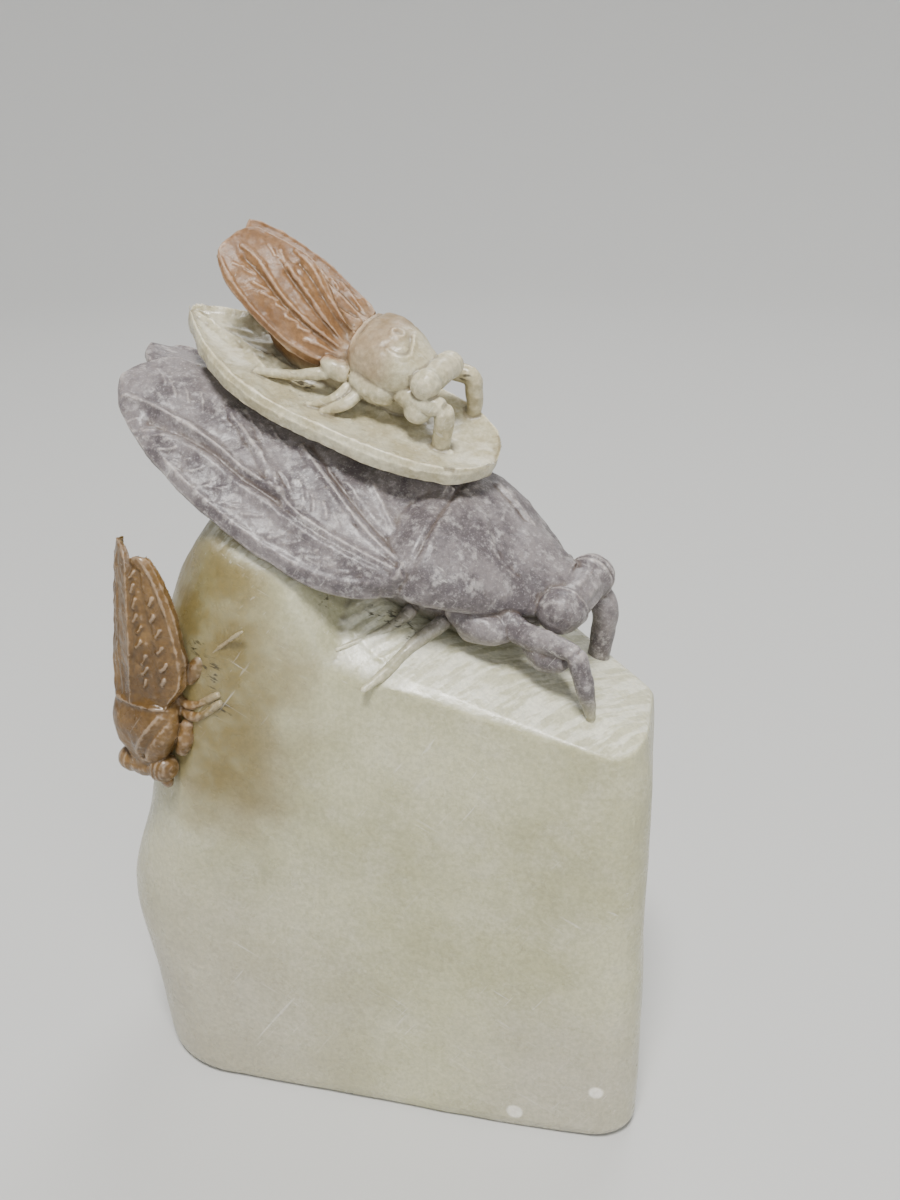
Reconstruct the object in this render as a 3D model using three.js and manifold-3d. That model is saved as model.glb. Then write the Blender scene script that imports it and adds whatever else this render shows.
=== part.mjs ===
// Soapstone carving: an upright block of pale stone with a large cicada lying on its sloping top,
// a leaf and a small cicada on that cicada's back, and a second small cicada, head down, on the
// block's front left corner. The whole carving is cut from one piece of layered stone.
// Millimetres, +Z up. The origin is the middle of the underside, and the show side faces -Y.
import * as THREE from "three";
import Module from "manifold-3d";

const wasm = await Module();
wasm.setup();

// Block
const BLOCK_WIDTH = 60;
const BLOCK_DEPTH = 28;
const BLOCK_RIGHT_HEIGHT = 53;
const FOOT_CHAMFER = 0.7;
const BLOCK_SIDES = [
  // height, then how far each side stands in (+) or out (-) from the foot's rectangle
  { z: 0, left: -1, right: 0.4, front: 0, back: 0 },
  { z: 12, left: -2.6, right: 0.5, front: 0, back: 0.2 },
  { z: 23, left: -4.2, right: 0.8, front: 0.1, back: 0.6 },
  { z: 34, left: -1.2, right: 1.1, front: 0.3, back: 1.0 },
  { z: 50, left: 1.6, right: 1.8, front: 0.6, back: 1.6 },
  { z: 60, left: 3.4, right: 4.0, front: 1.4, back: 2.4 },
  { z: 72, left: 8, right: 9.0, front: 4.2, back: 4.4 },
];
const CORNER_RADIUS = { frontRight: 5, backRight: 8, backLeft: 9, frontLeft: 11.5 };
const BACK_TAPER = 0.09;
const TOP_SLOPE = 0.3;
const SHOULDER_RISE = 0.57;
const SHOULDER_PEAK = { x: -20.8, z: 69.5, fall: 1.5 };
const BACK_FALL = { x: 27, y: -2.5, z: 53.1, slope: 1.3 };
const FACET = { x: 22.5, z: 50, rise: 0.21, lean: 0.62, wallX: -5, wallRise: 1.7 };

// Cicadas. Each is drawn at its own size in a frame of its own: forward to the head, across to
// the left and right, and up from its back, from the middle of the back where the wings begin.
const LARGE = {
  at: [5.2, -1, 73],
  pitch: 15,
  turn: -7,
  roll: 13,
  size: 1,
  belly: { girth: 1, deeper: 3 },
  wing: { length: 37.4, chord: 16.2, widest: 0.24, lift: 2, tipIn: 4, overlap: 2, tuck: 0.5 },
  surface: { vein: 0.5, edge: 1.1 },
  near: { roofRoot: 29, roofTip: 14, spread: 0, longer: 0 },
  far: { roofRoot: 29, roofTip: 14, spread: 0, longer: 1.2 },
  head: { a: 15.7, b: -0.3, c: -6.9, girth: 0.94, skew: 0.12, wide: 1 },
};
const SMALL = {
  at: [-6.1, 4, 87.3],
  pitch: 12,
  turn: -10,
  roll: 16,
  size: 0.606,
  belly: { girth: 0.65, deeper: 2.4 },
  wing: { length: 25.6, chord: 9.2, widest: 0.36, lift: 22.5, tipIn: 2, overlap: 6.9, tuck: 0 },
  surface: { vein: 0.6, edge: 1.1 },
  near: { roofRoot: 56, roofTip: 18, spread: 3, longer: 0 },
  far: { roofRoot: 2, roofTip: -4, spread: 13, longer: 0.4 },
  head: { a: 16.8, b: -2.6, c: -1.2, girth: 0.96, skew: 0.1, wide: 1.05 },
};
const SIDE = {
  at: [-26.8, -14.5, 51],
  pitch: 86,
  turn: -114,
  roll: 0,
  size: 0.5,
  belly: { girth: 1, deeper: 5 },
  wing: { length: 35, chord: 12.6, widest: 0.24, lift: 0, tipIn: 4.6, overlap: 2, tuck: 1.5 },
  surface: { vein: 0.6, edge: 2 },
  near: { roofRoot: 30, roofTip: 30, spread: 0, longer: 0.4 },
  far: { roofRoot: 30, roofTip: 8, spread: 0, longer: -1.8 },
  head: { a: 16.6, b: -0.6, c: -4.8, girth: 1.2, skew: -0.1, wide: 1.45 },
};


const WING_ROOT = 0.9;
const TIP_THINNER = 0.55;
const VEINS = [0.2, 0.38, 0.53, 0.7, 0.86];

// Leaf, drawn in the large cicada's frame
const LEAF = {
  pitch: 18,
  from: -35,
  to: 3.1,
  half: 8,
  widest: 0.58,
  floor: 2.7,
  rim: 3.9,
  keel: -1,
  tipLift: 1,
  tipSwing: 1.6,
  middle: 3.2,
};

// Colour of the stone's pale ground
const STONE_COLOUR = 0xc9ccb4;
const STONE_ROUGHNESS = 0.42;

const mix = (a, b, t) => a + (b - a) * t;
const clamp = (t) => Math.min(1, Math.max(0, t));
const smooth = (t) => clamp(t) ** 2 * (3 - 2 * clamp(t));
const radians = THREE.MathUtils.degToRad;
const steps = (count) => Array.from({ length: count + 1 }, (_, i) => i / count);
const rounded = (value, power) => Math.sign(value) * Math.abs(value) ** power;
const point = (x, y, z) => new THREE.Vector3(x, y, z);

// One closed solid through rings that all have the same number of points, with a fan at each end
function skin(rings) {
  const across = rings[0].length;
  const points = rings.flat();
  const faces = [];
  for (let i = 0; i + 1 < rings.length; i++) {
    for (let j = 0; j < across; j++) {
      const k = (j + 1) % across;
      const [a, b] = [i * across + j, i * across + k];
      faces.push([a, b, b + across], [a, b + across, a + across]);
    }
  }
  [0, rings.length - 1].forEach((end) => {
    const middle = rings[end].reduce((sum, p) => sum.clone().add(p)).divideScalar(across);
    const hub = points.push(middle) - 1;
    for (let j = 0; j < across; j++) {
      const edge = [end * across + j, end * across + ((j + 1) % across)];
      faces.push(end ? [edge[0], edge[1], hub] : [edge[1], edge[0], hub]);
    }
  });
  const volume = faces.reduce((sum, [a, b, c]) => {
    return sum + points[a].dot(points[b].clone().cross(points[c]));
  }, 0);
  if (volume < 0) faces.forEach((face) => face.reverse());
  return new wasm.Manifold(new wasm.Mesh({
    numProp: 3,
    vertProperties: new Float32Array(points.flatMap((p) => p.toArray())),
    triVerts: new Uint32Array(faces.flat()),
  }));
}

// Value of a smooth run through stations that are sorted by their key
function along(stations, key, at, name) {
  const last = stations.length - 1;
  const after = Math.min(last, Math.max(1, stations.findIndex((s) => s[key] >= at)));
  const [low, high] = [stations[after - 1], stations[after]];
  const t = clamp((at - low[key]) / (high[key] - low[key]));
  return mix(low[name], high[name], smooth(t) * 0.5 + t * 0.5);
}

// Block: rings of a rectangle with rounded corners, lifted to the sloping top, then drawn in
// over the top to its middle.
function topHeight(x, y) {
  const slope = BLOCK_RIGHT_HEIGHT + TOP_SLOPE * (21.6 - x);
  const shoulder = 60 - SHOULDER_RISE * x;
  const fall = SHOULDER_PEAK.z + SHOULDER_PEAK.fall * (x - SHOULDER_PEAK.x);
  const wall = FACET.wallRise * Math.max(0, FACET.wallX - x);
  const facet = FACET.z + FACET.rise * (FACET.x - x) + FACET.lean * (y + BLOCK_DEPTH / 2) + wall;
  const past = 0.8 * (x - BACK_FALL.x) + 0.6 * (y - BACK_FALL.y);
  const behind = BACK_FALL.z - BACK_FALL.slope * past;
  return Math.min(Math.max(slope, shoulder), fall, facet, behind);
}

function blockOutline(turn, z) {
  const inset = (side) => along(BLOCK_SIDES, "z", z, side) + FOOT_CHAMFER * clamp(1 - z);
  const left = -BLOCK_WIDTH / 2 + inset("left");
  const right = BLOCK_WIDTH / 2 - inset("right");
  const front = -BLOCK_DEPTH / 2 + inset("front");
  const back = BLOCK_DEPTH / 2 - inset("back");
  const corners = [
    [right, front, CORNER_RADIUS.frontRight, -90],
    [right, back, CORNER_RADIUS.backRight, 0],
    [left, back, CORNER_RADIUS.backLeft, 90],
    [left, front, CORNER_RADIUS.frontLeft, 180],
  ];
  const corner = Math.min(3, Math.floor(turn * 4));
  const [x, y, r, start] = corners[corner];
  const angle = radians(start + 90 * (turn * 4 - corner));
  const towards = (edge, radius) => edge - Math.sign(edge) * radius;
  const across = towards(x, r) + r * Math.cos(angle);
  const depth = towards(y, r) + r * Math.sin(angle);
  return [across * (1 - BACK_TAPER * (depth / BLOCK_DEPTH + 0.5)), depth];
}

function block() {
  const arc = steps(4);
  const fill = [[0.25, 0.5, 0.75], [0.5], [0.25, 0.5, 0.75], [0.5]];
  const around = (z) => {
    const bends = [0, 1, 2, 3].map((c) => arc.map((t) => blockOutline((c + t * 0.999) / 4, z)));
    return bends.flatMap((bend, c) => {
      const [from, to] = [bend.at(-1), bends[(c + 1) % 4][0]];
      const side = fill[(c + 1) % 4].map((t) => [mix(from[0], to[0], t), mix(from[1], to[1], t)]);
      return [...bend, ...side];
    });
  };
  const count = around(0).length;
  const rim = Array.from({ length: count }, (_, j) => {
    let z = BLOCK_RIGHT_HEIGHT;
    for (let pass = 0; pass < 12; pass++) z = mix(z, topHeight(...around(z)[j]), 0.6);
    return z;
  });
  const sides = [0, 0.02, 0.12, 0.25, 0.38, 0.5, 0.65, 0.8, 0.92, 1].map((t) => {
    return rim.map((height, j) => point(...around(t * height)[j], t * height));
  });
  const cap = [0.93, 0.82, 0.66, 0.45, 0.2].map((shrink) => {
    return sides.at(-1).map((p) => point(p.x * shrink, p.y * shrink, topHeight(p.x * shrink, p.y * shrink)));
  });
  return skin([...sides, ...cap]);
}

const HEAD_SIDES = 8;
const BACK_SIDES = 14;
const BELLY_SIDES = 8;
const LEG_SIDES = 5;

// A limb or a pebble: rings around a path, with the path's own sideways and upright directions
function limb(path, radii, sides) {
  const rings = path.map((p, i) => {
    const ahead = path[Math.min(i + 1, path.length - 1)].clone();
    const run = ahead.sub(path[Math.max(i - 1, 0)]).normalize();
    const sideways = point(0.31, 0.2, 0.93).cross(run).normalize();
    const upright = run.clone().cross(sideways);
    return steps(sides).slice(1).map((t) => {
      const [c, s] = [Math.cos(t * 2 * Math.PI), Math.sin(t * 2 * Math.PI)];
      return p.clone().addScaledVector(sideways, c * radii[i]).addScaledVector(upright, s * radii[i]);
    });
  });
  return skin(rings);
}

// A body: rings across the length, each a rounded arch from its lower edge to its top
function trunk(stations, power, sides) {
  const rings = stations.map(({ a, middle = 0, half, top, edge, low }) => {
    return steps(sides).slice(1).map((t) => {
      const [c, s] = [Math.cos(t * 2 * Math.PI), Math.sin(t * 2 * Math.PI)];
      const reach = s > 0 ? top - edge : edge - low;
      return point(a, middle + half * rounded(c, power), edge + reach * rounded(s, power));
    });
  });
  return skin(rings);
}

// Wing: rings across the chord from the root to the tip. Its veins are the grid's own lines,
// raised, which leave the shoulder of the wing in a fan.
const CHORD_LINES = [0, 0.1, 0.15, 0.2, 0.25, 0.32, 0.38, 0.45, 0.53, 0.61, 0.7, 0.78, 0.86, 0.93, 1];
const WING_STATIONS = [
  -0.012, 0.05, 0.13, 0.22, 0.31, 0.41, 0.51, 0.61, 0.7, 0.79, 0.86, 0.92, 0.96, 0.985, 0.998,
];

function wingChord(s, { widest, chord, tipIn, tuck }) {
  const reach = s > widest ? ((s - widest) / (1 - widest)) ** 1.6 : ((widest - s) / (1.75 * widest)) ** 2;
  return mix(tipIn, chord, (1 - reach) ** 0.6) - tuck * smooth(1 - s / 0.15);
}

function wing(side, spec, surface, { roofRoot, roofTip, spread, longer }) {
  const span = spec.length + longer;
  const [out, rise] = [Math.tan(radians(spread)), Math.sin(radians(spec.lift))];
  const rings = WING_STATIONS.map((s) => {
    const chord = wingChord(s, spec);
    const ending = 1 - Math.sqrt(1 - clamp((s - 0.84) / 0.16) ** 2);
    const inner = mix(-spec.overlap * smooth(s / 0.5) * (side < 0 ? 1 : 0.3), spec.tipIn, ending);
    const roof = radians(mix(roofRoot, roofTip, s));
    const fan = 0.3 + 0.7 * smooth(s / 0.4);
    const camber = 1.5 * (1 - 0.6 * s);
    const place = (t, depth) => {
      const w = mix(Math.min(inner, chord - 0.5), chord, t ** fan);
      const vein = VEINS.includes(t) ? surface.vein * (1 - s * 0.3) : 0;
      const swell = camber * 4 * t * (1 - t) - 0.5 * t ** 8;
      const h = swell + (depth ? -depth : vein * smooth((1 - s) * 6));
      const across = w * Math.cos(roof) + h * Math.sin(roof);
      const up = -w * Math.sin(roof) + h * Math.cos(roof) - (side > 0 ? 0.4 : 0);
      return point(-s * span, side * (across + s * span * out), up + s * span * rise);
    };
    const edge = surface.edge * mix(1, TIP_THINNER, smooth((s - 0.75) / 0.25));
    const thick = (t) => edge + WING_ROOT * (1 - s) * (1 - t);
    const top = CHORD_LINES.map((t) => place(t, 0));
    const under = [1, 0.75, 0.5, 0.25, 0].map((t) => place(t, thick(t)));
    return [...top, ...under];
  });
  return skin(rings);
}

// Head: turned about the line through both eyes, with a waist between the eyes and the brow.
// Each pair is a distance from the middle and the radius there.
const HEAD = [[5.6, 0.8], [5.3, 1.6], [4.6, 2.3], [3.6, 2.6], [2.6, 2.5], [1.9, 2.3], [1, 2.45], [0, 2.5]];

function head({ a, b, c, girth, skew, wide }) {
  const both = [...HEAD.map(([out, r]) => [-out, r]), ...HEAD.slice(0, -1).reverse()];
  const path = both.map(([out]) => point(a + out * wide * skew, b + out * wide, c));
  return limb(path, both.map(([, r]) => r * girth), HEAD_SIDES);
}

// Backs and bellies: at each distance from the wings' root, half the width, then the heights of
// the top, of the widest line and of the underside
const SHIELD = [
  { a: -4, middle: -0.5, half: 8.4, top: -2, edge: -6.4, low: -8.6 },
  { a: -1, middle: -0.7, half: 10.2, top: -0.5, edge: -6.4, low: -9 },
  { a: 1, middle: -0.7, half: 10.8, top: -0.3, edge: -6.2, low: -8.9 },
  { a: 4.5, middle: -0.5, half: 10.2, top: -1.2, edge: -6.1, low: -8.8 },
  { a: 8, middle: -0.3, half: 8.5, top: -2.7, edge: -6.6, low: -8.8 },
  { a: 11, half: 6.4, top: -4.3, edge: -7.2, low: -8.9 },
  { a: 13.4, half: 4.8, top: -5.4, edge: -7.4, low: -8.8 },
  { a: 15, half: 3.4, top: -6.2, edge: -7.4, low: -8.4 },
];
const DOME = [
  { a: 0.2, middle: 1.5, half: 5.4, top: 0.6, edge: -2, low: -6 },
  { a: 1.5, middle: 1.3, half: 6.8, top: 2.1, edge: -2, low: -6.4 },
  { a: 5, middle: 0.5, half: 7.9, top: 3.2, edge: -2.6, low: -6.6 },
  { a: 9, middle: -0.8, half: 7.3, top: 3.1, edge: -2.8, low: -6.4 },
  { a: 12.5, middle: -1.7, half: 5.7, top: 2.1, edge: -2.4, low: -5.6 },
  { a: 14.8, middle: -2, half: 4, top: 0.9, edge: -2, low: -5 },
  { a: 16.2, middle: -2.4, half: 2.8, top: 0, edge: -2, low: -4 },
];
const SIDE_BACK = [
  { a: -3, half: 5.2, top: -2.6, edge: -7, low: -9 },
  { a: -0.5, half: 7.7, top: -1.3, edge: -6, low: -9 },
  { a: 3, half: 8.8, top: 0.1, edge: -5.2, low: -8.4 },
  { a: 7, half: 8.6, top: 0.6, edge: -4.6, low: -7.8 },
  { a: 10.5, half: 7.4, top: -0.1, edge: -4.3, low: -7.4 },
  { a: 13, half: 6, top: -1.2, edge: -4.2, low: -6.8 },
  { a: 15.2, half: 4.4, top: -2, edge: -4.2, low: -6 },
];
const BELLY = [
  { a: -26, half: 1.2, top: -3.4, edge: -4.6, low: -5.6 },
  { a: -23, half: 3.4, top: -2.4, edge: -5, low: -7.2 },
  { a: -17, half: 5.6, top: -1.4, edge: -6, low: -9.4 },
  { a: -8, half: 7.2, top: -1.2, edge: -7.4, low: -11.4 },
  { a: 2, half: 7.6, top: -2, edge: -8.4, low: -12.4 },
  { a: 10, half: 6.2, top: -3, edge: -8.4, low: -12 },
  { a: 14.5, half: 3.4, top: -4.4, edge: -7.6, low: -9.6 },
];

function frameOf({ at, roll, turn, size }, pitch) {
  const heading = new THREE.Euler(radians(roll), radians(pitch), radians(turn), "ZYX");
  const frame = new THREE.Matrix4().makeRotationFromEuler(heading);
  return frame.scale(point(size, size, size)).setPosition(...at).elements;
}

function cicada(spec, back, legs) {
  const belly = BELLY.map(({ a, half, top, edge, low }) => {
    const behind = Math.min(0, a) * spec.wing.length / LARGE.wing.length;
    const rise = -behind * Math.sin(radians(spec.wing.lift));
    const middle = clamp((a + 26) / 12) * clamp((16 - a) / 5);
    return {
      a: Math.max(a, behind),
      half: half * spec.belly.girth,
      top: top + rise,
      edge: edge + rise * 0.6,
      low: low - spec.belly.deeper * middle,
    };
  });
  const parts = [trunk(back, 0.85, BACK_SIDES), trunk(belly, 0.9, BELLY_SIDES), head(spec.head)];
  parts.push(wing(-1, spec.wing, spec.surface, spec.near), wing(1, spec.wing, spec.surface, spec.far));
  legs.forEach((leg) => {
    parts.push(limb(leg.map(([a, b, c]) => point(a, b, c)), leg.map((p) => p[3]), LEG_SIDES));
  });
  return parts.map((part) => part.transform(frameOf(spec, spec.pitch)));
}

// Legs, knees and shoulders: each is a path of points that end with the radius there
const LARGE_LEGS = [
  [[9, -6, -8.2, 1.3], [12.4, -7.5, -8.4, 1.25], [15.7, -8.5, -7.5, 1.2], [18.9, -9.4, -6.6, 0.8]],
  [[13, -7, -8.8, 1.1], [15.4, -7.6, -9.4, 2], [18, -8.8, -8.4, 1.3]],
  [[18.6, -9.3, -6.6, 1], [20.4, -9.7, -9.6, 0.95], [22.4, -10.2, -13.8, 0.5]],
  [[12.5, 4, -8.6, 1.5], [18, 3.6, -9.6, 1.9], [19.3, 2.8, -14, 1.8], [19.8, 2, -18, 1.6]],
  [[4.6, -7.6, -8.6, 1.1], [7, -8, -9.4, 1.7], [9.4, -7.8, -9.4, 1.8], [12, -6.8, -8.6, 0.9]],
  [[4.5, -7, -11, 0.8], [2.4, -10.5, -13.2, 0.75], [1.2, -14.5, -14.3, 0.7], [0, -17.1, -15.2, 0.4]],
  [[0.8, -7.5, -11, 0.8], [-0.1, -8.9, -12.4, 0.75], [-4.6, -14.3, -14.3, 0.4]],
  [[4.5, 7, -10, 1], [1.2, 10, -19, 0.9]],
  [[4.8, 4.6, -1.2, 0.4], [8.4, 3, -2.8, 0.6], [11.8, 1.2, -4.6, 0.4]],
];
const SMALL_LEGS = [
  [[11, -5.6, -4, 2], [14.1, -6.1, -5, 2.2], [17.4, -6.6, -4.6, 1.9], [20.2, -6.4, -4.2, 1.5]],
  [[13, -6, -5.4, 1.2], [15.9, -7, -6.2, 2.2], [18, -6.8, -5.6, 1.2]],
  [[20.2, -6.3, -4.2, 1.6], [20.3, -6.7, -12.6, 1.6]],
  [[12.5, 2.6, -3.4, 1.7], [17, 4.6, -4.4, 1.6], [19.8, 5.2, -4.9, 1.6], [21, 5, -13, 1.3]],
  [[2.6, -5.2, -4.2, 1.8], [5, -5.9, -4.9, 2.6], [8, -6.2, -5.2, 2.7], [11, -5.7, -4.8, 2]],
  [[-3.4, -5.6, -3.2, 1.1], [-1, -6, -4.2, 1.9], [1.9, -5.8, -4.4, 1.8]],
  [[4.8, -7, -6, 1.3], [4, -9.4, -7.2, 1.1], [0, -12.3, -9.4, 0.8]],
  [[2.8, -7, -6, 1.2], [1.4, -9.4, -7.6, 1], [-3, -12, -9, 0.7]],
  [[-1.5, -6.4, -5, 1.3], [-7, -8.6, -6.2, 0.9], [-14.4, -10.2, -7.2, 0.6]],
  [[4, 7, -4.4, 1.2], [-6.9, 8, -9, 0.8]],
];
const SIDE_LEGS = [
  [[-0.5, 6, -7, 1.1], [0.5, 9.4, -8, 1.1], [-3.6, 17.2, -9.7, 0.6]],
  [[2, 7, -7.5, 1.1], [3, 10.5, -8, 1.1], [-1.9, 17.7, -9.8, 0.6]],
  [[-4.5, 9, -8, 1.5], [-8.2, 11.3, -9.4, 2.1], [-10.8, 12.6, -10, 1.2]],
  [[4, 9.5, -8, 1.3], [8, 9, -7.6, 1.9], [12.5, 7.8, -7, 1.4]],
  [[16, 3, -5, 2.2], [18.6, 4.2, -5.5, 1.8], [21, 5.2, -6, 0.9]],
];

// Leaf: a shallow boat with a raised rim, pointed towards the cicadas' wing tips
const LEAF_STATIONS = [0.01, 0.04, 0.1, 0.18, 0.28, 0.4, 0.52, 0.64, 0.76, 0.86, 0.93, 0.975, 0.997];

function leaf() {
  const rings = LEAF_STATIONS.map((t) => {
    const a = mix(LEAF.from, LEAF.to, t);
    const beyond = (t - LEAF.widest) / (1 - LEAF.widest);
    const spread = beyond < 0 ? 1 - (1 - t / LEAF.widest) ** 3 : Math.sqrt(1 - beyond ** 3);
    const lift = LEAF.tipLift * smooth(1 - t * 2.2);
    const middle = LEAF.middle + LEAF.tipSwing * (1 - t) ** 8;
    const [near, far] = [middle - LEAF.half * spread, middle + LEAF.half * spread];
    const across = (u, height) => point(a, mix(near, far, u), height + lift);
    const top = [0, 0.06, 0.16, 0.3, 0.5, 0.7, 0.84, 0.94, 1].map((u) => {
      const edge = u === 0 || u === 1 ? 0.9 : 0;
      return across(u, mix(LEAF.floor, LEAF.rim, Math.abs(2 * u - 1) ** 3) - edge);
    });
    const under = [0.96, 0.8, 0.5, 0.2, 0.04].map((u) => {
      const hull = mix(LEAF.keel, LEAF.rim - 2, Math.abs(2 * u - 1) ** 1.3);
      return across(u, mix(LEAF.rim - 1.4, hull, clamp(1.4 * spread)));
    });
    return [...top, ...under];
  });
  return skin(rings);
}

function carving() {
  const parts = [
    block(),
    leaf().transform(frameOf(LARGE, LEAF.pitch)),
    ...cicada(LARGE, SHIELD, LARGE_LEGS),
    ...cicada(SMALL, DOME, SMALL_LEGS),
    ...cicada(SIDE, SIDE_BACK, SIDE_LEGS),
  ];
  return parts.reduce((whole, part) => whole.add(part));
}

function meshOf(solid, name, material) {
  const { vertProperties, triVerts } = solid.getMesh();
  const geometry = new THREE.BufferGeometry();
  geometry.setAttribute("position", new THREE.BufferAttribute(vertProperties, 3));
  geometry.setIndex(new THREE.BufferAttribute(triVerts, 1));
  geometry.computeVertexNormals();
  const mesh = new THREE.Mesh(geometry, material);
  mesh.name = name;
  return mesh;
}

const stone = new THREE.MeshStandardMaterial({
  color: STONE_COLOUR,
  roughness: STONE_ROUGHNESS,
  metalness: 0,
});
const group = new THREE.Group();
group.add(meshOf(carving(), "stone_carving", stone));

export default group;
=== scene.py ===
"""Soapstone carving: an upright block with three cicadas and a leaf, dressed around its solid.

The whole carving is one piece of layered stone. Four skins together stand for its one solid: the
block, the large cicada, the leaf with the small cicada, and the side cicada. Each form is first a
closed shell, worked out in millimetres on a grid of two parameters. The shells of a skin are then
melted into one mesh, which is given the layers of colour of the stone.
"""
import math

import bpy
import numpy as np
from mathutils import Matrix, Vector


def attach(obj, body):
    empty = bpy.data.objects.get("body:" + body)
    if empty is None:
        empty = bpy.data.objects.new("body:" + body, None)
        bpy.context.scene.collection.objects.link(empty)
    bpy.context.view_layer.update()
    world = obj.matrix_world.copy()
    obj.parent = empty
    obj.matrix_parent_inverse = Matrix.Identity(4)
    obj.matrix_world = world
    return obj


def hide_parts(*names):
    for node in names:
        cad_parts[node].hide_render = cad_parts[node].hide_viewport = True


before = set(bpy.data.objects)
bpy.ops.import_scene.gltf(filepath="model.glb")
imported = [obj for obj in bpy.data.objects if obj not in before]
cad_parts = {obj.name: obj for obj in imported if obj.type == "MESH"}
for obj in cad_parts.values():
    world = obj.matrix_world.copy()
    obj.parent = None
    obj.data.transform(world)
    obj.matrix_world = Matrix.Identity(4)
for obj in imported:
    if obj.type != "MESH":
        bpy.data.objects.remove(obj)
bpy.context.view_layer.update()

MM = 0.001

# Block, in millimetres: the same sizes as the solid
BLOCK_WIDTH = 60
BLOCK_DEPTH = 28
BLOCK_RIGHT_HEIGHT = 53
FOOT_CHAMFER = 0.7
BLOCK_SIDES = {
    "z": (0, 12, 23, 34, 50, 60, 72),
    "left": (-1, -2.6, -4.2, -1.2, 1.6, 3.4, 8),
    "right": (0.4, 0.5, 0.8, 1.1, 1.8, 4, 9),
    "front": (0, 0, 0.1, 0.3, 0.6, 1.4, 4.2),
    "back": (0, 0.2, 0.6, 1, 1.6, 2.4, 4.4),
}
CORNER_RADIUS = {"front right": 5, "back right": 8, "back left": 9, "front left": 11.5}
BACK_TAPER = 0.09
TOP_SLOPE = 0.3
SLOPE_END = 21.6
SHOULDER_RISE = 0.57
SHOULDER_MIDDLE = 60
SHOULDER_PEAK = {"x": -20.8, "z": 69.5, "fall": 1.5}
BACK_FALL = {"x": 27, "y": -2.5, "z": 53.1, "slope": 1.3, "across": 0.8, "deep": 0.6}
FACET = {"x": 22.5, "z": 50, "rise": 0.21, "lean": 0.62, "wall x": -5, "wall rise": 1.7}
CREASE = 0.15

# The rim's rounding, sharp on the right and soft from there to the left, in millimetres
EDGE_SHARP = 0.5
EDGE_SOFT = 4.0
SOFT_FROM = 4
SOFT_OVER = 14

# The block's grid: points round a corner and along each side, rings up the sides, over the rim
# and over the top
CORNER_POINTS = 14
SIDE_POINTS = (18, 70, 18, 70)
SIDE_RINGS = 90
RIM_RINGS = 16
TOP_RINGS = 120

# Tool marks in the hollow beside the hind leg: the first one's place and the step to the next
CHISEL = {"count": 7, "at": (-1.5, -11.6), "step": (-1.5, 0.25), "run": (5.2, 4.6)}
CHISEL_HEIGHT = 0.22
CHISEL_WIDTH = 0.42

# Cicadas. Each is drawn in a frame of its own: a forward to the head, b across, c up from the
# middle of the back where the wings begin.
LARGE = {
    "at": (5.2, -1, 73),
    "pitch": 15,
    "turn": -7,
    "roll": 13,
    "size": 1,
    "belly": {"girth": 1, "deeper": 3},
    "wing": {
        "length": 37.4, "chord": 16.2, "widest": 0.24, "lift": 2,
        "tip": 4, "overlap": 2, "tuck": 0.5, "edge": 1.1,
    },
    "near": {"roof": (29, 14), "spread": 0, "longer": 0},
    "far": {"roof": (29, 14), "spread": 0, "longer": 1.2},
    "head": {"a": 15.7, "b": -0.3, "c": -6.9, "girth": 0.94, "skew": 0.12, "wide": 1, "rims": 1},
}
SMALL = {
    "at": (-6.1, 4, 87.3),
    "pitch": 12,
    "turn": -10,
    "roll": 16,
    "size": 0.606,
    "belly": {"girth": 0.65, "deeper": 2.4},
    "wing": {
        "length": 25.6, "chord": 9.2, "widest": 0.36, "lift": 22.5,
        "tip": 2, "overlap": 6.9, "tuck": 0, "edge": 1.1,
    },
    "near": {"roof": (56, 18), "spread": 3, "longer": 0},
    "far": {"roof": (2, -4), "spread": 13, "longer": 0.4},
    "head": {"a": 16.8, "b": -2.6, "c": -1.2, "girth": 0.96, "skew": 0.1, "wide": 1.05, "rims": 0.3},
}
SIDE = {
    "at": (-26.8, -14.5, 51),
    "pitch": 86,
    "turn": -114,
    "roll": 0,
    "size": 0.5,
    "belly": {"girth": 1, "deeper": 5},
    "wing": {
        "length": 35, "chord": 12.6, "widest": 0.24, "lift": 0,
        "tip": 4.6, "overlap": 2, "tuck": 1.5, "edge": 2,
    },
    "near": {"roof": (30, 30), "spread": 0, "longer": 0.4},
    "far": {"roof": (30, 8), "spread": 0, "longer": -1.8},
    "head": {"a": 16.6, "b": -0.6, "c": -4.8, "girth": 1.2, "skew": -0.1, "wide": 1.45, "rims": 0.8},
}
WING_ROOT = 0.9
TIP_THINNER = 0.55
WING_CAMBER = 1.5
WING_CURL = 0.5
WING_END = 0.84
FAR_WING_DROP = 0.4

# The grids of the cicadas: stations along a form and points round or across it
WING_GRID = {"along": 250, "top": 130, "under": 24}
TRUNK_GRID = (150, 140)
HEAD_GRID = (130, 90)
LIMB_GRID = (60, 36)
LEAF_GRID = {"along": 240, "top": 150, "under": 60}

# A direction that no limb runs along, from which its rings are set square
ACROSS_LIMBS = (0.31, 0.2, 0.93)

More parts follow.
